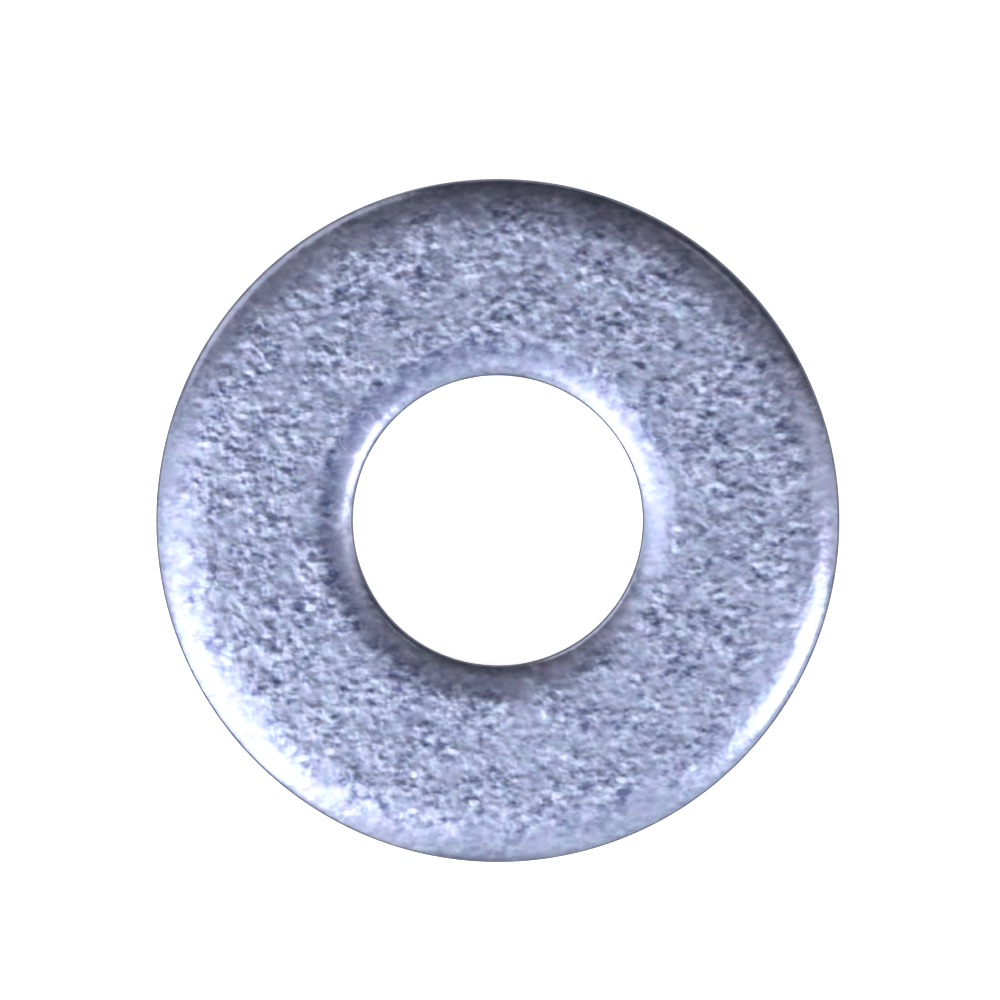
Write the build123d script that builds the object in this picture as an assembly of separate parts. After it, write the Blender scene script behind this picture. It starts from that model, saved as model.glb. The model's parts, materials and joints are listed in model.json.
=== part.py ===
"""A plain flat washer of the wide inch series for a 1/4 inch bolt, blanked from steel strip and zinc plated.

It is one piece of metal: a ring that a compound die cuts from strip in one stroke, hole and outside
together. The two cut walls both show what that stroke does:

- die roll, where the strip bent down before it sheared: a wide soft rounding of the upper face's edge
- sheared land, the bright straight band that the die and the punch size: it is the true diameter
- break, where the rest tore through: a slightly sloping band down to the lower face
- tumbled corner, the small rounding that the tumbling barrel leaves where the burr was

Frame: millimetres, +Z up along the hole. The origin is on the hole's axis, in the plane of the lower
face. The rolled face is the upper one.
"""

from build123d import *

import math
import os

INCH = 25.4

# Driving dimensions
OUTSIDE_DIAMETER = 0.734 * INCH
HOLE_DIAMETER = 0.312 * INCH
THICKNESS = 0.065 * INCH

# The cut walls, as shares of the strip's thickness. The rim rolls wider and deeper than the hole.
RIM_ROLL_WIDTH = 0.88 * THICKNESS
RIM_ROLL_DEPTH = 0.23 * THICKNESS
HOLE_ROLL_WIDTH = 0.80 * THICKNESS
HOLE_ROLL_DEPTH = 0.16 * THICKNESS
BREAK_HEIGHT = 0.40 * THICKNESS
CORNER_RADIUS = 0.06 * THICKNESS
BREAK_SLOPE_DEGREES = 3.5

OUTSIDE_RADIUS = OUTSIDE_DIAMETER / 2
HOLE_RADIUS = HOLE_DIAMETER / 2
BREAK_SETBACK = BREAK_HEIGHT * math.tan(math.radians(BREAK_SLOPE_DEGREES))


def cut_wall(radius, roll_width, roll_depth, into_metal):
    """Draw one cut wall as an open line, and return its lower end and its upper end.

    radius is the land's. into_metal is +1 where the metal lies outside the wall, as round the hole, and -1
    where it lies inside, as at the rim.
    """
    foot = (radius + into_metal * BREAK_SETBACK, 0)
    land_bottom = (radius, BREAK_HEIGHT)
    land_top = (radius, THICKNESS - roll_depth)
    roll_centre = (radius + into_metal * roll_width, THICKNESS - roll_depth)
    Polyline(foot, land_bottom, land_top)
    EllipticalCenterArc(roll_centre, roll_width, roll_depth, start_angle=90, arc_size=90 * into_metal)
    return foot, (roll_centre[0], THICKNESS)


def washer_section():
    """The ring's half section: a closed outline in the XZ plane, where the sketch's own Y is Z."""
    with BuildSketch(Plane.XZ) as section:
        with BuildLine():
            hole_foot, hole_top = cut_wall(HOLE_RADIUS, HOLE_ROLL_WIDTH, HOLE_ROLL_DEPTH, 1)
            rim_foot, rim_top = cut_wall(OUTSIDE_RADIUS, RIM_ROLL_WIDTH, RIM_ROLL_DEPTH, -1)
            Line(hole_foot, rim_foot)
            Line(hole_top, rim_top)
        make_face()
        lower_corners = section.vertices().group_by(Axis.Y)[0]
        fillet(lower_corners, CORNER_RADIUS)
    return section.sketch


def flat_washer():
    """The whole washer: its section turned once round the hole's axis."""
    return revolve(washer_section(), axis=Axis.Z, revolution_arc=360)


def main():
    os.makedirs("parts", exist_ok=True)
    washer = flat_washer()
    print("volume", round(washer.volume, 2), "mm3")
    print("the hole's land is", round(THICKNESS - HOLE_ROLL_DEPTH - BREAK_HEIGHT, 4), "mm long")
    export_step(washer, "parts/flat_washer.step")


main()
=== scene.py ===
# A zinc-plated flat washer of the wide inch series, lying on a white table with its rolled face up.
#
# The ring is one mesh, turned ring by ring from the section that a blanking stroke leaves: rolled edge,
# sheared land, torn break and tumbled corner, at the hole and at the rim alike. The strip's grain, the
# uneven roll, the torn wall and the tumbler's dents are all in the mesh. The plate's finish is three
# materials, one for each kind of surface, made from the same few groups.
#
# Metres, in the frame of the CAD model: +Z up the hole's axis, +X along the strip's rolling grain.

import json
import math
import random
from collections import namedtuple

import bpy
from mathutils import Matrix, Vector, noise


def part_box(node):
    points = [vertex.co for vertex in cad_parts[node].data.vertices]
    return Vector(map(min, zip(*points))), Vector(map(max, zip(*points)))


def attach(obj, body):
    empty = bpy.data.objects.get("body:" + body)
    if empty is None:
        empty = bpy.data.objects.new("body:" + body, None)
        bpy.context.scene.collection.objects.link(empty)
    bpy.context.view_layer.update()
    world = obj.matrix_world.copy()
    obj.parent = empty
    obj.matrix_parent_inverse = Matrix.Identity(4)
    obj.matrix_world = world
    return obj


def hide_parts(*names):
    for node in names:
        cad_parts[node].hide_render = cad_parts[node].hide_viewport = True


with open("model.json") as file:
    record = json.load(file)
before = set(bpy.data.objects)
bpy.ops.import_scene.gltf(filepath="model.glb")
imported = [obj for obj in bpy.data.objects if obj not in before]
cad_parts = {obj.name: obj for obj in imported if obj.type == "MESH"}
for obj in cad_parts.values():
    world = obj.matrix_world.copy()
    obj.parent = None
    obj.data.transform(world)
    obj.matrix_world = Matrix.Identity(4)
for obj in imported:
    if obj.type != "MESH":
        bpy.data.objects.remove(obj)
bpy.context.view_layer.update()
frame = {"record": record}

MM = 0.001
MICRON = 0.000001
FULL_TURN = 2 * math.pi
QUARTER_TURN = math.pi / 2

# ------------------------------------------------------------------ sizes, from the CAD model

washer_low, washer_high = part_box("flat_washer")
THICKNESS = washer_high.z - washer_low.z
RIM_RADIUS = (washer_high.x - washer_low.x) / 2
mounts = {mount["name"]: mount for mount in frame["record"]["mounts"]}
HOLE_RADIUS = mounts["bolt_hole"]["dims"]["r_mm"] * MM

# The lower part of a cut wall, the same at the hole and at the rim
BREAK_HEIGHT = 0.40 * THICKNESS
CORNER_RADIUS = 0.06 * THICKNESS
BREAK_SLOPE_DEGREES = 3.5
BREAK_SETBACK = BREAK_HEIGHT * math.tan(math.radians(BREAK_SLOPE_DEGREES))

# A cut wall: its land's radius, which way the metal lies, and the width and depth of its rolled edge.
# Where the roll begins to steepen the plate is darker, partly as duller drawn metal and partly as painted
# shade. A wall gives how much on average, and how much more of it falls towards the shaded side, which is all
# painted shade.
Wall = namedtuple("Wall", "radius into_metal roll_width roll_depth dulling dull_swing seed")
HOLE = Wall(HOLE_RADIUS, 1, 0.80 * THICKNESS, 0.16 * THICKNESS, 1.2, 0.9, 5.0)
RIM = Wall(RIM_RADIUS, -1, 0.88 * THICKNESS, 0.23 * THICKNESS, 0.5, 0.0, 9.0)
# The side of the hole, as an angle from +X, towards which more painted shade is laid
SHADED_SIDE = math.radians(160)

# The spans of how far the metal was drawn over which the dulling and painted shade set in, and fade out again
DULL_AND_SHADE_START = (0.15, 0.40)
DULL_AND_SHADE_END = (0.85 - 1 / 3, 0.85)

# ------------------------------------------------------------------ the ring's section

# The kinds of metal, in the order of the piece's materials. Between two rings the higher kind holds.
FACE, LAND, BREAK = range(3)

# One turn of the section: the wall it belongs to, its place in the section, its kind of metal, how far
# the metal was drawn down (0 on the flat, 1 at the land), how much its edge gets rubbed, and its points.
Ring = namedtuple("Ring", "wall radius height kind drawn rub count")

# How many rings each band of the section has, and how many points a ring has on each side
HOLE_ROLL_STEPS = 26
RIM_ROLL_STEPS = 28
HOLE_FACE_STEPS = 25
RIM_FACE_STEPS = 24
LAND_STEPS = 4
BREAK_STEPS = 8
CORNER_STEPS = 4
UNDERSIDE_STEPS = 26
HOLE_SIDE = 432
RIM_SIDE = 2 * HOLE_SIDE
UNDERSIDE = HOLE_SIDE


def steps(count):
    """The shares 1/count, 2/count, ... 1."""
    return [(index + 1) / count for index in range(count)]


def land_top(wall):
    """The height where the rolled edge meets the land."""
    return THICKNESS - wall.roll_depth


def roll_rings(wall, count, around):
    """The rolled edge, from the flat of the face out to the land. Its last quarter gets rubbed."""
    rings = []
    for share in steps(count):
        turn = share * QUARTER_TURN
        radius = wall.radius + wall.into_metal * wall.roll_width * (1 - math.sin(turn))
        height = land_top(wall) + wall.roll_depth * math.cos(turn)
        rub = max(0.0, 4 * share - 3)
        rings.append(Ring(wall, radius, height, FACE, math.sin(turn), rub, around))
    return rings


def land_rings(wall, around):
    """The land, from its top down to the break. Its upper third gets rubbed."""
    rings = []
    for share in steps(LAND_STEPS):
        height = land_top(wall) + share * (BREAK_HEIGHT - land_top(wall))
        rings.append(Ring(wall, wall.radius, height, LAND, 1, max(0, 1 - 3 * share), around))
    return rings


def break_rings(wall, around):
    """The break, from the land down to the tumbled corner. Its lowest quarter gets rubbed."""
    rings = []
    for share in steps(BREAK_STEPS):
        height = BREAK_HEIGHT + share * (CORNER_RADIUS - BREAK_HEIGHT)
        radius = wall.radius + wall.into_metal * BREAK_SETBACK * (1 - height / BREAK_HEIGHT)
        rings.append(Ring(wall, radius, height, BREAK, 1, max(0, 4 * share - 3), around))
    return rings


def corner_rings(wall, around):
    """The tumbled corner, from the break round to the lower face."""
    foot = wall.radius + wall.into_metal * BREAK_SETBACK
    rings = []
    for share in steps(CORNER_STEPS):
        turn = share * QUARTER_TURN
        radius = foot + wall.into_metal * CORNER_RADIUS * (1 - math.cos(turn))
        height = CORNER_RADIUS * (1 - math.sin(turn))
        rings.append(Ring(wall, radius, height, FACE, 1 - share, 1 - share / 2, around))
    return rings


def wall_rings(wall, around):
    """The wall below the roll, from just under the land's top down to the lower face."""
    return land_rings(wall, around) + break_rings(wall, around) + corner_rings(wall, around)


def flat_rings(wall, start, end, height, count, around):
    """A flat face, from one radius to another, each ring with the wall that it is nearer to."""
    return [Ring(wall, start + share * (end - start), height, FACE, 0, 0, around) for share in steps(count)]


def section_rings():
    """All the rings in order: up the hole's wall, out over the face, down the rim, and in underneath."""
    roll_start = HOLE.radius + HOLE.roll_width
    roll_end = RIM.radius - RIM.roll_width
    middle = (roll_start + roll_end) / 2
    hole_wall = wall_rings(HOLE, HOLE_SIDE)
    rings = list(reversed(hole_wall))
    rings += [Ring(HOLE, HOLE.radius, land_top(HOLE), LAND, 1, 1, HOLE_SIDE)]
    rings += list(reversed(roll_rings(HOLE, HOLE_ROLL_STEPS, HOLE_SIDE)))[1:]
    rings += flat_rings(HOLE, roll_start, middle, THICKNESS, HOLE_FACE_STEPS, HOLE_SIDE)
    rings += flat_rings(RIM, middle, roll_end, THICKNESS, RIM_FACE_STEPS, RIM_SIDE)
    rings += roll_rings(RIM, RIM_ROLL_STEPS, RIM_SIDE)
    rings += wall_rings(RIM, RIM_SIDE)
    inner_foot = hole_wall[-1].radius
    outer_foot = rings[-1].radius
    rings += flat_rings(RIM, outer_foot, inner_foot, 0, UNDERSIDE_STEPS, UNDERSIDE)[:-1]
    return rings


# ------------------------------------------------------------------ the surface's unevenness

# How far the surface departs from the plain section, without growing out of the section's box. The
# grain, the drag lines and the dents are cut in. The torn break is cut in as well, but for its highest
# lumps. The roll's depth and the break's height wander both ways.
GRAIN_DEPTH = 7 * MICRON
UNDERSIDE_DEPTH = 4 * MICRON
TEAR_DEPTH = 26 * MICRON
DRAG_DEPTH = 2 * MICRON

# The strip's grain, coarse and fine: its length and breadth, its share, and its slice of the noise
Grain = namedtuple("Grain", "length breadth share slice")
COARSE_GRAIN = Grain(0.36 * MM, 0.32 * MM, 1.1, 3.1)
FINE_GRAIN = Grain(0.21 * MM, 0.18 * MM, 0.6, 8.7)

# How much of the grain a roll loses, and over what span of how far it was drawn
GRAIN_LOSS = 0.9
GRAIN_FADE = (0.2, 1.0)

# How much the roll's depth and the break's height wander, in about how many swings round the ring, and
# how many swings the land's drag lines make
ROLL_WANDER, ROLL_WAVES = 0.10, 14
BREAK_WANDER, BREAK_WAVES = 0.22, 40
DRAG_WAVES = 420

# The torn metal's lumps: how wide and how high they are, how far their mean is cut in, and the shares of
# the break's height, at its foot and at its top, over which they fade out
TEAR_ACROSS, TEAR_UP = 0.25 * MM, 0.18 * MM
TEAR_MEAN = 0.5
TEAR_FOOT, TEAR_TOP = 1 / 4, 1 / 6

# The tumbler's dents on the rolled face: how many, how wide, how deep as a share of the width, and the
# side of the squares that they are sorted into
DENT_SEED = 11
DENT_COUNT = 70
DENT_WIDTHS = (0.07 * MM, 0.20 * MM)
DENT_DEPTHS = (0.03, 0.08)
DENT_CELL = 0.5 * MM


def rise(value, start, end):
    """0 up to start, 1 from end on, and a soft step between them."""
    share = min(1.0, max(0.0, (value - start) / (end - start)))
    return share * share * (3 - 2 * share)


def grain_height(grain, x, y):
    """The height of one grain at a place on the strip."""
    return grain.share * noise.noise(Vector((x / grain.length, y / grain.breadth, grain.slice)))


def strip_grain(x, y):
    """The strip's own roughness, from -1 to 1, drawn out along X."""
    return max(-1.0, min(1.0, grain_height(COARSE_GRAIN, x, y) + grain_height(FINE_GRAIN, x, y)))


def round_noise(angle, waves, seed):
    """A wandering value that meets itself after one turn. waves is about how many swings a turn has."""
    reach = waves / FULL_TURN
    return noise.noise(Vector((reach * math.cos(angle), reach * math.sin(angle), seed)))


def dents(radius_low, radius_high):
    """The places, widths and depths of the dents, spread evenly over the face between two radii."""
    draw = random.Random(DENT_SEED)
    found = []
    for _ in range(DENT_COUNT):
        angle = draw.uniform(0, FULL_TURN)
        radius = math.sqrt(draw.uniform(radius_low**2, radius_high**2))
        width = draw.uniform(*DENT_WIDTHS)
        depth = width * draw.uniform(*DENT_DEPTHS)
        found.append((radius * math.cos(angle), radius * math.sin(angle), width, depth))
    return found


def dent_map(places):
    """The dents by the square of the face that each one may touch."""
    found = {}
    for dent in places:
        column, row = round(dent[0] / DENT_CELL), round(dent[1] / DENT_CELL)
        for across in (-1, 0, 1):
            for along in (-1, 0, 1):
                found.setdefault((column + across, row + along), []).append(dent)
    return found


FACE_DENTS = dent_map(dents(HOLE_RADIUS + HOLE.roll_width / 2, RIM_RADIUS))


def dent_depth(x, y):
    """How deep the rolled face is dented at one place: a smooth bowl in each dent."""
    deepest = 0.0
    for dent_x, dent_y, width, depth in FACE_DENTS.get((round(x / DENT_CELL), round(y / DENT_CELL)), ()):
        away = math.hypot(x - dent_x, y - dent_y) / width
        if away < 1:
            deepest = max(deepest, depth * (1 - away * away) ** 2)
    return deepest


def roll_swing(wall, angle):
    """How much deeper the roll is at one angle, as a share of its depth."""
    return ROLL_WANDER * round_noise(angle, ROLL_WAVES, wall.seed)


def break_swing(wall, angle):
    """How far the line between the land and the break stands above its mean height."""
    return BREAK_WANDER * BREAK_HEIGHT * round_noise(angle, BREAK_WAVES, wall.seed + 1)


def uneven_face(ring, angle, x, y):
    """The height of the rolled face or a rolled edge. The grain fades where the metal was drawn down."""
    plain = THICKNESS - (THICKNESS - ring.height) * (1 + roll_swing(ring.wall, angle))
    fade = 1 - GRAIN_LOSS * rise(ring.drawn, *GRAIN_FADE)
    return plain + (strip_grain(x, y) * fade - 1) * GRAIN_DEPTH - dent_depth(x, y)


def uneven_land(ring, angle):
    """The radius and height of the land, with upright drag lines and uneven upper and lower edges."""
    wall = ring.wall
    up = (ring.height - BREAK_HEIGHT) / (land_top(wall) - BREAK_HEIGHT)
    sunk = wall.roll_depth * roll_swing(wall, angle) + GRAIN_DEPTH
    height = ring.height + break_swing(wall, angle) * (1 - up) - sunk * up
    drag = DRAG_DEPTH * (1 + round_noise(angle, DRAG_WAVES, wall.seed + 2))
    return ring.radius + wall.into_metal * drag, height


def uneven_break(ring, angle, x, y):
    """The radius and height of the break, torn in the middle and smooth at both edges."""
    wall = ring.wall
    up = ring.height / BREAK_HEIGHT
    tear = noise.noise(Vector((x / TEAR_ACROSS, y / TEAR_ACROSS, ring.height / TEAR_UP)))
    torn = TEAR_DEPTH * (TEAR_MEAN + tear) * rise(up, 0, TEAR_FOOT) * rise(1 - up, 0, TEAR_TOP)
    return ring.radius + wall.into_metal * torn, ring.height + break_swing(wall, angle) * up


def shaped(ring, angle):
    """The place of one vertex, with the surface's own unevenness."""
    radius, height = ring.radius, ring.height
    cosine, sine = math.cos(angle), math.sin(angle)
    x, y = radius * cosine, radius * sine
    if ring.kind == FACE and height > BREAK_HEIGHT:
        height = uneven_face(ring, angle, x, y)
    elif ring.kind == LAND:
        radius, height = uneven_land(ring, angle)
    elif ring.kind == BREAK:
        radius, height = uneven_break(ring, angle, x, y)
    elif ring.drawn == 0:
        height += UNDERSIDE_DEPTH * (1 + strip_grain(x + RIM_RADIUS, y))
    return radius * cosine, radius * sine, height


def dulling(ring, angle):
    """How dull and how shaded the metal is painted at one vertex: most of all where the roll begins to
    steepen, and more on the hole's shaded side.
    """
    # Painted shade: darker towards the shaded side of the hole
    uneven = 1 + ring.wall.dull_swing * math.cos(angle - SHADED_SIDE)
    return ring.wall.dulling * uneven * rise(ring.drawn, *DULL_AND_SHADE_START) * (1 - rise(ring.drawn, *DULL_AND_SHADE_END))


# ------------------------------------------------------------------ the ring's mesh


def skin_between(first, second, first_start, second_start):
    """The faces between two neighbouring rings, which may differ by a factor of two in their counts."""
    faces = []
    if first.count == second.count:
        for index in range(first.count):
            following = (index + 1) % first.count
            faces.append((first_start + index, second_start + index,
                          second_start + following, first_start + following))
        return faces
    coarse_first = first.count < second.count
    coarse, fine = (first_start, second_start) if coarse_first else (second_start, first_start)
    coarse_count = min(first.count, second.count)
    for index in range(coarse_count):
        following = (index + 1) % coarse_count
        left, middle, right = fine + 2 * index, fine + 2 * index + 1, fine + 2 * following
        trio = [(coarse + index, left, middle), (coarse + index, middle, coarse + following),
                (coarse + following, middle, right)]
        faces += trio if coarse_first else [tuple(reversed(face)) for face in trio]
    return faces


def washer_mesh():
    """The whole ring, with what its materials read at each vertex: how far it was drawn, its dulling with
    painted shade, and its rub.
    """
    rings = section_rings()
    points, drawn, dull, rub, starts = [], [], [], [], []
    for ring in rings:
        starts.append(len(points))
        for index in range(ring.count):
            angle = FULL_TURN * index / ring.count
            points.append(shaped(ring, angle))
            drawn.append(ring.drawn)
            dull.append(dulling(ring, angle))
            rub.append(ring.rub)
    faces, kinds = [], []
    for index, ring in enumerate(rings):
        following = (index + 1) % len(rings)
        band = skin_between(ring, rings[following], starts[index], starts[following])
        faces += band
        kinds += [max(ring.kind, rings[following].kind)] * len(band)
    mesh = bpy.data.meshes.new("flat_washer_ring")
    mesh.from_pydata(points, [], faces)
    mesh.polygons.foreach_set("material_index", kinds)
    for name, values in (("drawn", drawn), ("dull", dull), ("rub", rub)):
        mesh.attributes.new(name, "FLOAT", "POINT").data.foreach_set("value", values)
    mesh.shade_smooth()
    mesh.validate()
    return mesh


# ------------------------------------------------------------------ shader nodes

# The sockets of a Mix node that are for colour
MIX_FIRST, MIX_SECOND, MIX_RESULT = 6, 7, 2


def add(tree, kind, **settings):
    """A new node, with its settings."""
    made = tree.nodes.new(kind)
    for name, value in settings.items():
        setattr(made, name, value)
    return made


def feed(tree, source, target):
    """Link an output to an input."""
    tree.links.new(source, target)


def give(tree, socket, value):
    """Link a socket to an input, or set the input to a number, a vector or a colour."""
    if isinstance(value, bpy.types.NodeSocket):
        feed(tree, value, socket)
    else:
        socket.default_value = value


def new_group(name, inputs, outputs):
    """An empty shader group with inputs {name: default} and outputs {name: socket type}."""
    tree = bpy.data.node_groups.new(name, "ShaderNodeTree")
    for label, default in inputs.items():
        kind = "NodeSocketColor" if isinstance(default, tuple) else "NodeSocketFloat"
        tree.interface.new_socket(label, in_out="INPUT", socket_type=kind).default_value = default
    for label, kind in outputs.items():
        tree.interface.new_socket(label, in_out="OUTPUT", socket_type=kind)
    return tree, add(tree, "NodeGroupInput"), add(tree, "NodeGroupOutput")


def place(tree, group, **values):
    """A group placed in a material, with its own values."""
    made = add(tree, "ShaderNodeGroup", node_tree=group)
    for name, value in values.items():
        made.inputs[name].default_value = value
    return made


def maths(tree, operation, first, second=None, third=None, clamp=False):
    """A Math node's output. Each value is a number or a socket."""
    made = add(tree, "ShaderNodeMath", operation=operation, use_clamp=clamp)
    for socket, value in zip(made.inputs, (first, second, third)):
        if value is not None:
            give(tree, socket, value)
    return made.outputs["Value"]


def remap(tree, value, source, target):
    """value carried by a soft step from the span source to the span target, and held at the ends."""
    made = add(tree, "ShaderNodeMapRange", interpolation_type="SMOOTHSTEP")
    give(tree, made.inputs["Value"], value)
    for name, number in zip(("From Min", "From Max", "To Min", "To Max"), source + target):
        give(tree, made.inputs[name], number)
    return made.outputs["Result"]


def mixed_colour(tree, factor, first, second, blend="MIX"):
    """A Mix node's colour, from first at 0 to second at 1. Each value is a number, a colour or a socket."""
    made = add(tree, "ShaderNodeMix", data_type="RGBA", blend_type=blend)
    give(tree, made.inputs["Factor"], factor)
    give(tree, made.inputs[MIX_FIRST], first)
    give(tree, made.inputs[MIX_SECOND], second)
    return made.outputs[MIX_RESULT]


def place_in_metal(tree, size, stretch=None):
    """Object coordinates counted in steps of size, with X shrunk by stretch."""
    coordinates = add(tree, "ShaderNodeTexCoord")
    scaled = add(tree, "ShaderNodeVectorMath", operation="SCALE")
    feed(tree, coordinates.outputs["Object"], scaled.inputs["Vector"])
    feed(tree, maths(tree, "DIVIDE", 1.0, size), scaled.inputs["Scale"])
    if stretch is None:
        return scaled.outputs["Vector"]
    parts = add(tree, "ShaderNodeSeparateXYZ")
    whole = add(tree, "ShaderNodeCombineXYZ")
    feed(tree, scaled.outputs["Vector"], parts.inputs["Vector"])
    feed(tree, maths(tree, "DIVIDE", parts.outputs["X"], stretch), whole.inputs["X"])
    feed(tree, parts.outputs["Y"], whole.inputs["Y"])
    feed(tree, parts.outputs["Z"], whole.inputs["Z"])
    return whole.outputs["Vector"]


def noise_texture(tree, where, scale=1.0, detail=1.0, distortion=0.0, shift=0.0):
    """A Noise texture's value at a place. shift sets it apart from others of the same scale."""
    moved = add(tree, "ShaderNodeVectorMath", operation="ADD")
    moved.inputs[1].default_value = (shift, shift, shift)
    feed(tree, where, moved.inputs[0])
    made = add(tree, "ShaderNodeTexNoise")
    for name, value in (("Scale", scale), ("Detail", detail), ("Roughness", 0.5), ("Distortion", distortion)):
        made.inputs[name].default_value = value
    feed(tree, moved.outputs["Vector"], made.inputs["Vector"])
    return made.outputs["Fac"]


# ------------------------------------------------------------------ shader groups

# A cell of the plate is two flecks wide and holds one dot, as strong as DOT_PIT at one end and DOT_FROST
# at the other. It is whole out to DOT_CORE from its middle and gone at DOT_EDGE, as shares of the cell.
CELLS_PER_FLECK = 0.5
DOT_PIT, DOT_FROST = -0.5, 1.2
DOT_CORE, DOT_EDGE = 0.12, 0.36

# How much the drifts, bumps and dots add to a fleck's shade beside the crystals, and what the sum of all
# four is on average. DOT_RISE is how far a dot stands above the bumps.
DRIFT_SHARE, BUMP_SHARE, DOT_SHARE = 0.25, 0.4, 0.3
SHADE_MIDDLE = 0.86
DOT_RISE = 0.15

# The span of the noise over which the plate goes from rubbed to untouched, and how live its flecks are
RUBBED_SPAN = (0.34, 0.56)
LIVE_SPAN = (0.5, 1.1)

# The span of the noise over which the plate's film goes from steel to lavender, and the one over which
# a scratch goes from broken to whole
FILM_SPAN = (0.32, 0.68)
SCRATCH_SPAN = (0.50, 0.62)


def frost_dots(tree, where):
    """Separate dots of frost or of bare pit, from DOT_PIT to DOT_FROST, and 0 between them."""
    cells = add(tree, "ShaderNodeTexVoronoi", feature="F1")
    cells.inputs["Scale"].default_value = CELLS_PER_FLECK
    feed(tree, where, cells.inputs["Vector"])
    dot = remap(tree, cells.outputs["Distance"], (DOT_CORE, DOT_EDGE), (1.0, 0.0))
    chance = add(tree, "ShaderNodeSeparateColor")
    feed(tree, cells.outputs["Color"], chance.inputs["Color"])
    strength = maths(tree, "MULTIPLY_ADD", chance.outputs["Red"], DOT_FROST - DOT_PIT, DOT_PIT)
    return maths(tree, "MULTIPLY", dot, strength)


def fleck_group():
    """The plate's flecks: frosted bumps and pits, drawn out along X, and rubbed smooth here and there."""
    tree, given, result = new_group(
        "zinc_flecks",
        {"Size": 0.2 * MM, "Stretch": 1.5, "Contrast": 1.0, "Calm": 1.0},
        {"Height": "NodeSocketFloat", "Shade": "NodeSocketFloat"},
    )
    where = place_in_metal(tree, given.outputs["Size"], given.outputs["Stretch"])
    level = place_in_metal(tree, given.outputs["Size"])
    bumps = noise_texture(tree, level, scale=0.68)
    crystals = noise_texture(tree, where, shift=17.0)
    drifts = noise_texture(tree, where, scale=0.40, detail=0.0, shift=41.0)
    rubbed = noise_texture(tree, level, scale=0.22, shift=67.0)
    dots = frost_dots(tree, where)
    live = remap(tree, rubbed, RUBBED_SPAN, LIVE_SPAN)
    strength = maths(tree, "MULTIPLY", live, given.outputs["Calm"])
    bumpy = maths(tree, "MULTIPLY_ADD", bumps, BUMP_SHARE, crystals)
    drifting = maths(tree, "MULTIPLY_ADD", drifts, DRIFT_SHARE, bumpy)
    dotted = maths(tree, "MULTIPLY_ADD", dots, DOT_SHARE, drifting)
    centred = maths(tree, "SUBTRACT", dotted, SHADE_MIDDLE)
    contrast = maths(tree, "MULTIPLY", strength, given.outputs["Contrast"])
    feed(tree, maths(tree, "MULTIPLY_ADD", centred, contrast, 0.5, clamp=True), result.inputs["Shade"])
    raised = maths(tree, "MULTIPLY_ADD", dots, DOT_RISE, bumps)
    feed(tree, maths(tree, "MULTIPLY", raised, strength), result.inputs["Height"])
    return tree


def cloud_group():
    """Slow patches over the plate, where the bath and the rinse left it a little deeper or paler."""
    tree, given, result = new_group(
        "plating_clouds",
        {"Size": 2.0 * MM, "Contrast": 1.0},
        {"Cloud": "NodeSocketFloat", "Hue": "NodeSocketFloat"},
    )
    where = place_in_metal(tree, given.outputs["Size"])
    patches = noise_texture(tree, where, detail=4.0)
    centred = maths(tree, "SUBTRACT", patches, 0.5)
    cloud = maths(tree, "MULTIPLY_ADD", centred, given.outputs["Contrast"], 0.5, clamp=True)
    feed(tree, cloud, result.inputs["Cloud"])
    films = noise_texture(tree, where, scale=3.0, shift=29.0)
    feed(tree, remap(tree, films, FILM_SPAN, (0.0, 1.0)), result.inputs["Hue"])
    return tree


def scuff_group():
    """Hair scratches from the tumbler and the bin, as thin broken lines that run every way."""
    tree, given, result = new_group(
        "tumbler_scuffs",
        {"Size": 1.2 * MM, "Width": 0.012},
        {"Scuff": "NodeSocketFloat"},
    )
    where = place_in_metal(tree, given.outputs["Size"])
    lines = noise_texture(tree, where, distortion=0.6)
    breaks = noise_texture(tree, where, scale=2.3, detail=2.0, shift=23.0)
    away = maths(tree, "ABSOLUTE", maths(tree, "SUBTRACT", lines, 0.5))
    line = remap(tree, away, (0.0, given.outputs["Width"]), (1.0, 0.0))
    kept = remap(tree, breaks, SCRATCH_SPAN, (0.0, 1.0))
    feed(tree, maths(tree, "MULTIPLY", line, kept), result.inputs["Scuff"])
    return tree


# How far the clouds and the dulling with its painted shade move the plate's tone, how much of the rubbed
# colour a scuff shows, and how wear changes the roughness
CLOUD_DRIFT = 0.25
DULL_AND_SHADE_DRIFT = -0.16
SCUFF_SHARE = 0.25
WORN_SMOOTHING = -0.06


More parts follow.
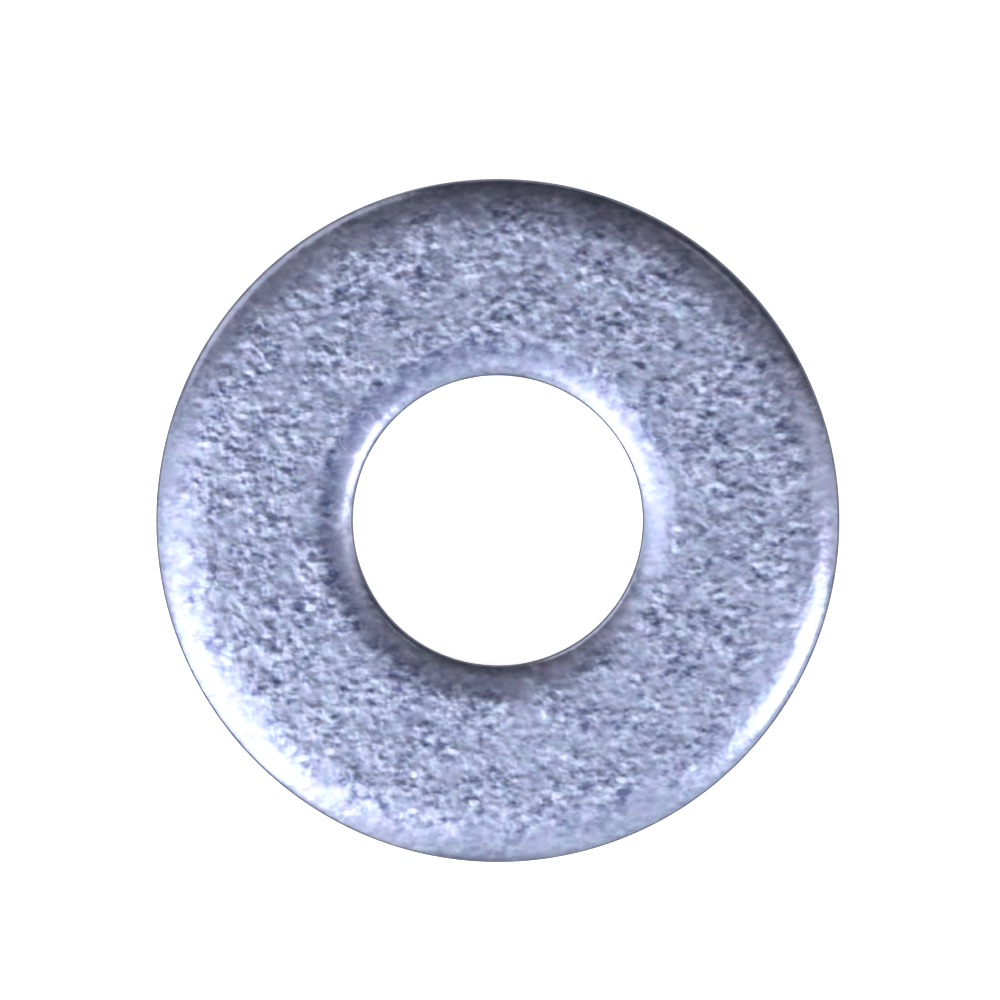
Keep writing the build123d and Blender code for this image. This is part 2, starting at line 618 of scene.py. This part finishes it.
def zinc_group():
    """The plate's colour and roughness from its flecks, clouds, scuffs, rolls dulled and painted with shade,
    and rubbed edges.
    """
    tree, given, result = new_group(
        "zinc_finish",
        {
            "Pale": (0.66, 0.735, 1.0, 1.0),
            "Deep": (0.135, 0.155, 0.31, 1.0),
            "Rubbed": (0.66, 0.72, 0.88, 1.0),
            "Lavender": (1.0, 0.95, 0.98, 1.0),
            "Steel": (0.93, 0.99, 0.97, 1.0),
            "Shade": 0.5,
            "Cloud": 0.5,
            "Hue": 0.5,
            "Scuff": 0.0,
            "Dull": 0.0,
            "Rub": 0.0,
            "Satin": 0.30,
            "Satin Spread": 0.25,
        },
        {"Colour": "NodeSocketColor", "Roughness": "NodeSocketFloat"},
    )
    drift = maths(tree, "MULTIPLY", maths(tree, "SUBTRACT", given.outputs["Cloud"], 0.5), CLOUD_DRIFT)
    shaded = maths(tree, "ADD", given.outputs["Shade"], drift)
    # Painted shade: the tone darkens where the rolls are dulled and shaded
    tone = maths(tree, "MULTIPLY_ADD", given.outputs["Dull"], DULL_AND_SHADE_DRIFT, shaded, clamp=True)
    plate = mixed_colour(tree, tone, given.outputs["Deep"], given.outputs["Pale"])
    hues = mixed_colour(tree, given.outputs["Hue"], given.outputs["Steel"], given.outputs["Lavender"])
    tinted = mixed_colour(tree, 1.0, plate, hues, blend="MULTIPLY")
    rubbed_edge = maths(tree, "MULTIPLY", given.outputs["Rub"], given.outputs["Cloud"])
    worn = maths(tree, "MULTIPLY_ADD", given.outputs["Scuff"], SCUFF_SHARE, rubbed_edge, clamp=True)
    feed(tree, mixed_colour(tree, worn, tinted, given.outputs["Rubbed"]), result.inputs["Colour"])
    swing = maths(tree, "SUBTRACT", tone, 0.5)
    satin = maths(tree, "MULTIPLY_ADD", swing, given.outputs["Satin Spread"], given.outputs["Satin"])
    rough = maths(tree, "MULTIPLY_ADD", worn, WORN_SMOOTHING, satin, clamp=True)
    feed(tree, rough, result.inputs["Roughness"])
    return tree


FLECKS = fleck_group()
CLOUDS = cloud_group()
SCUFFS = scuff_group()
ZINC = zinc_group()

# ------------------------------------------------------------------ materials


def metal(name):
    """A bare metal material: itself, its tree and its shader."""
    made = bpy.data.materials.new(name)
    made.use_nodes = True
    shader = made.node_tree.nodes["Principled BSDF"]
    shader.inputs["Metallic"].default_value = 1.0
    return made, made.node_tree, shader


def attribute(tree, name):
    """What the mesh says of the metal at each point."""
    return add(tree, "ShaderNodeAttribute", attribute_name=name).outputs["Fac"]


def emboss(tree, shader, height, depth):
    """Raise the shader's surface by height, from 0 to 1, where 1 stands for depth in metres."""
    made = add(tree, "ShaderNodeBump")
    made.inputs["Strength"].default_value = 1.0
    made.inputs["Distance"].default_value = depth
    feed(tree, height, made.inputs["Height"])
    feed(tree, made.outputs["Normal"], shader.inputs["Normal"])


def dress(tree, shader, flecks, clouds, scuffs, finish):
    """Join the placed groups to the finish, and the finish to the shader."""
    feed(tree, flecks.outputs["Shade"], finish.inputs["Shade"])
    feed(tree, clouds.outputs["Cloud"], finish.inputs["Cloud"])
    feed(tree, clouds.outputs["Hue"], finish.inputs["Hue"])
    # The rolls' dulling and painted shade, from the mesh
    feed(tree, attribute(tree, "dull"), finish.inputs["Dull"])
    feed(tree, scuffs.outputs["Scuff"], finish.inputs["Scuff"])
    feed(tree, attribute(tree, "rub"), finish.inputs["Rub"])
    feed(tree, finish.outputs["Colour"], shader.inputs["Base Color"])
    feed(tree, finish.outputs["Roughness"], shader.inputs["Roughness"])


# The span of how far the strip was drawn over which its flecks calm, and how calm they get
CALM_DRAWN = (0.20, 0.75)
CALM_SPAN = (1.0, 0.4)


def zinc_on_strip():
    """The faces and the rolled edges. The flecks calm where the metal was drawn down."""
    made, tree, shader = metal("zinc_on_strip")
    flecks = place(tree, FLECKS, Size=0.187 * MM, Stretch=1.5, Contrast=1.5)
    clouds = place(tree, CLOUDS, Size=1.6 * MM, Contrast=1.6)
    scuffs = place(tree, SCUFFS, Size=1.5 * MM)
    finish = place(tree, ZINC, Satin=0.24)
    dress(tree, shader, flecks, clouds, scuffs, finish)
    feed(tree, remap(tree, attribute(tree, "drawn"), CALM_DRAWN, CALM_SPAN), flecks.inputs["Calm"])
    emboss(tree, shader, flecks.outputs["Height"], depth=20 * MICRON)
    return made


# How far apart the die's drag lines are on the land, and how far they run down it
DRAG_SPACING = 0.05 * MM
DRAG_LENGTH = 1.4 * MM


def zinc_on_land():
    """The sheared land, burnished by the die and drawn with fine upright lines."""
    made, tree, shader = metal("zinc_on_land")
    flecks = place(tree, FLECKS, Size=0.15 * MM, Stretch=1.0, Contrast=0.8)
    clouds = place(tree, CLOUDS, Size=1.1 * MM, Contrast=1.4)
    scuffs = place(tree, SCUFFS, Size=0.8 * MM)
    finish = place(tree, ZINC, Satin=0.20)
    dress(tree, shader, flecks, clouds, scuffs, finish)
    coordinates = add(tree, "ShaderNodeTexCoord")
    upright = add(tree, "ShaderNodeVectorMath", operation="MULTIPLY")
    upright.inputs[1].default_value = (1 / DRAG_SPACING, 1 / DRAG_SPACING, 1 / DRAG_LENGTH)
    feed(tree, coordinates.outputs["Object"], upright.inputs[0])
    drag = noise_texture(tree, upright.outputs["Vector"], detail=3.0)
    emboss(tree, shader, drag, depth=5 * MICRON)
    return made


def zinc_on_break():
    """The torn break, matt and pitted."""
    made, tree, shader = metal("zinc_on_break")
    flecks = place(tree, FLECKS, Size=0.10 * MM, Stretch=1.0, Contrast=2.0)
    clouds = place(tree, CLOUDS, Size=0.6 * MM, Contrast=1.8)
    scuffs = place(tree, SCUFFS, Size=0.8 * MM)
    finish = place(tree, ZINC, Satin=0.42, Pale=(0.66, 0.72, 0.92, 1.0), Deep=(0.14, 0.16, 0.24, 1.0))
    dress(tree, shader, flecks, clouds, scuffs, finish)
    emboss(tree, shader, flecks.outputs["Height"], depth=30 * MICRON)
    return made


WHITE = (1.0, 1.0, 1.0, 1.0)
TABLE_WHITE = (0.92, 0.92, 0.92, 1.0)
TABLE_GREY = (0.34, 0.34, 0.35, 1.0)
TABLE_GLOW = 0.75


def light_table():
    """The floor: white acrylic, lit from beneath. The metal sees it as a softer grey than the eye does."""
    made = bpy.data.materials.new("light_table")
    made.use_nodes = True
    tree = made.node_tree
    shader = tree.nodes["Principled BSDF"]
    shader.inputs["Roughness"].default_value = 0.9
    shader.inputs["Specular IOR Level"].default_value = 0.0
    path = add(tree, "ShaderNodeLightPath")
    acrylic = mixed_colour(tree, path.outputs["Is Glossy Ray"], TABLE_WHITE, TABLE_GREY)
    feed(tree, acrylic, shader.inputs["Base Color"])
    shader.inputs["Emission Color"].default_value = WHITE
    glow = maths(tree, "MULTIPLY", path.outputs["Is Camera Ray"], TABLE_GLOW)
    feed(tree, glow, shader.inputs["Emission Strength"])
    return made


# ------------------------------------------------------------------ pieces

FLOOR_REACH = 2.0
FLOOR_GAP = 5 * MICRON


def link_object(name, data):
    """A new object in the scene."""
    made = bpy.data.objects.new(name, data)
    bpy.context.scene.collection.objects.link(made)
    return made


def washer_piece():
    """The ring, in its three materials. Their order is that of FACE, LAND and BREAK."""
    piece = link_object("flat_washer_ring", washer_mesh())
    for material in (zinc_on_strip(), zinc_on_land(), zinc_on_break()):
        piece.data.materials.append(material)
    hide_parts("flat_washer")
    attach(piece, "root")


def floor_piece():
    """The table's top, a hair below the washer."""
    corners = [(-FLOOR_REACH, -FLOOR_REACH), (FLOOR_REACH, -FLOOR_REACH),
               (FLOOR_REACH, FLOOR_REACH), (-FLOOR_REACH, FLOOR_REACH)]
    mesh = bpy.data.meshes.new("table_top")
    mesh.from_pydata([(x, y, washer_low.z - FLOOR_GAP) for x, y in corners], [], [(0, 1, 2, 3)])
    mesh.materials.append(light_table())
    link_object("table_top", mesh)


# ------------------------------------------------------------------ light

LIGHT_DISTANCE = 0.30
LAMP_COLOUR = (1.0, 0.93, 0.86)

# azimuth is anticlockwise from +X, seen from above, and off_zenith is measured from straight up. wide and
# tall are the angles that the box fills, seen from the washer. All four are in degrees.
SoftBox = namedtuple("SoftBox", "name azimuth off_zenith wide tall radiance")
SOFT_BOXES = (
    SoftBox("front_left_box", -144, 55, 31, 66, 1.6),
    SoftBox("front_left_glow", -150, 36, 46, 54, 0.5),
    SoftBox("front_low_box", -116, 68, 26, 40, 0.6),
    SoftBox("left_box", 194, 15, 18, 14, 0.65),
    SoftBox("right_box", -26, 44, 22, 32, 2.4),
    SoftBox("right_glow", -3, 19, 26, 16, 0.25),
    SoftBox("right_fill", 3, 56, 24, 60, 0.6),
    SoftBox("back_left_box", 132, 68, 44, 30, 0.9),
    SoftBox("back_right_strip", 50, 46, 14, 4, 1.0),
)

# The tent's brightness, from the front, at 0, to the back, at 1. TENT_AZIMUTH is the way to the back.
TENT_AZIMUTH = 75
TENT_STOPS = (
    (0.00, 0.45), (0.10, 0.75), (0.20, 0.98), (0.32, 1.08), (0.45, 1.10), (0.48, 1.08),
    (0.52, 0.64), (0.55, 0.47), (0.61, 0.42), (0.68, 0.29), (0.75, 0.17), (0.83, 0.10), (1.00, 0.08),
)
TENT_COOL = (0.98, 1.00, 1.00, 1.0)
TENT_WARM = (1.10, 1.00, 1.02, 1.0)

# Where, on the same scale, the tent's colour turns from cool to warm
TENT_TURN = (0.50, 0.65)

# How bright the pale hem is at the horizon, and how high up it has faded out
HEM_GLOW = 0.45
HEM_RISE = 0.14


def direction(azimuth, off_zenith):
    """A unit vector, from angles in degrees that are measured as a SoftBox's are."""
    turn, lean = math.radians(azimuth), math.radians(off_zenith)
    return Vector((math.sin(lean) * math.cos(turn), math.sin(lean) * math.sin(turn), math.cos(lean)))


def side_of(degrees):
    """The side of a lamp that fills this angle, seen from the washer."""
    return 2 * LIGHT_DISTANCE * math.tan(math.radians(degrees / 2))


def hang(box):
    """Hang a soft box so that it faces the washer."""
    width, height = side_of(box.wide), side_of(box.tall)
    lamp = bpy.data.lights.new(box.name, "AREA")
    lamp.shape = "RECTANGLE"
    lamp.size = width
    lamp.size_y = height
    lamp.energy = box.radiance * math.pi * width * height
    lamp.color = LAMP_COLOUR
    made = link_object(box.name, lamp)
    towards = direction(box.azimuth, box.off_zenith)
    made.location = towards * LIGHT_DISTANCE
    made.rotation_mode = "QUATERNION"
    made.rotation_quaternion = towards.to_track_quat("Z", "Y")
    made.visible_camera = False


def tent_colour(tree, directions):
    """The tent's own colour: bright and cool from the front to just past overhead, dim and warm behind."""
    along = add(tree, "ShaderNodeVectorMath", operation="DOT_PRODUCT")
    feed(tree, directions, along.inputs[0])
    along.inputs[1].default_value = direction(TENT_AZIMUTH, 90)
    level = maths(tree, "MULTIPLY_ADD", along.outputs["Value"], 0.5, 0.5)
    tent = add(tree, "ShaderNodeValToRGB")
    ramp = tent.color_ramp.elements
    while len(ramp) < len(TENT_STOPS):
        ramp.new(0.5)
    for stop, (position, value) in zip(ramp, TENT_STOPS):
        stop.position = position
        stop.color = (value, value, value, 1.0)
    feed(tree, level, tent.inputs["Fac"])
    warmth = remap(tree, level, TENT_TURN, (0.0, 1.0))
    tint = mixed_colour(tree, warmth, TENT_COOL, TENT_WARM)
    return mixed_colour(tree, 1.0, tent.outputs["Color"], tint, blend="MULTIPLY")


def studio_world():
    """The tent round the table, with a pale hem at the horizon. It is white to the eye itself."""
    world = bpy.data.worlds.new("studio_tent")
    world.use_nodes = True
    bpy.context.scene.world = world
    tree = world.node_tree
    directions = add(tree, "ShaderNodeTexCoord").outputs["Generated"]
    height = add(tree, "ShaderNodeSeparateXYZ")
    feed(tree, directions, height.inputs["Vector"])
    hem = remap(tree, height.outputs["Z"], (0.0, HEM_RISE), (HEM_GLOW, 0.0))
    hemmed = mixed_colour(tree, 1.0, tent_colour(tree, directions), hem, blend="LIGHTEN")
    path = add(tree, "ShaderNodeLightPath")
    seen = mixed_colour(tree, path.outputs["Is Camera Ray"], hemmed, WHITE)
    feed(tree, seen, tree.nodes["Background"].inputs["Color"])


def lights():
    """The tent and the soft boxes."""
    studio_world()
    for box in SOFT_BOXES:
        hang(box)


# ------------------------------------------------------------------ camera

LENS = 240
SENSOR = 36
CLIP_NEAR = 0.005
CLIP_FAR = 10

# Shares of the view's width: the rim's radius, and how far the aim lies off the hole's axis
RIM_SHARE = 0.3417
AIM_RIGHT = 0.0022
AIM_UP = 0.0206


def camera():
    """Straight above the washer, with +Y up in the view. Its width is taken at the top of the rim's land."""
    view_width = RIM_RADIUS / RIM_SHARE
    made = bpy.data.cameras.new("copy_stand")
    made.lens = LENS
    made.sensor_width = SENSOR
    made.clip_start = CLIP_NEAR
    made.clip_end = CLIP_FAR
    stand = link_object("copy_stand", made)
    away = view_width * LENS / SENSOR
    stand.location = (AIM_RIGHT * view_width, AIM_UP * view_width, land_top(RIM) + away)
    bpy.context.scene.camera = stand


def main():
    washer_piece()
    floor_piece()
    lights()
    camera()
    bpy.context.scene.view_settings.view_transform = "Standard"


main()
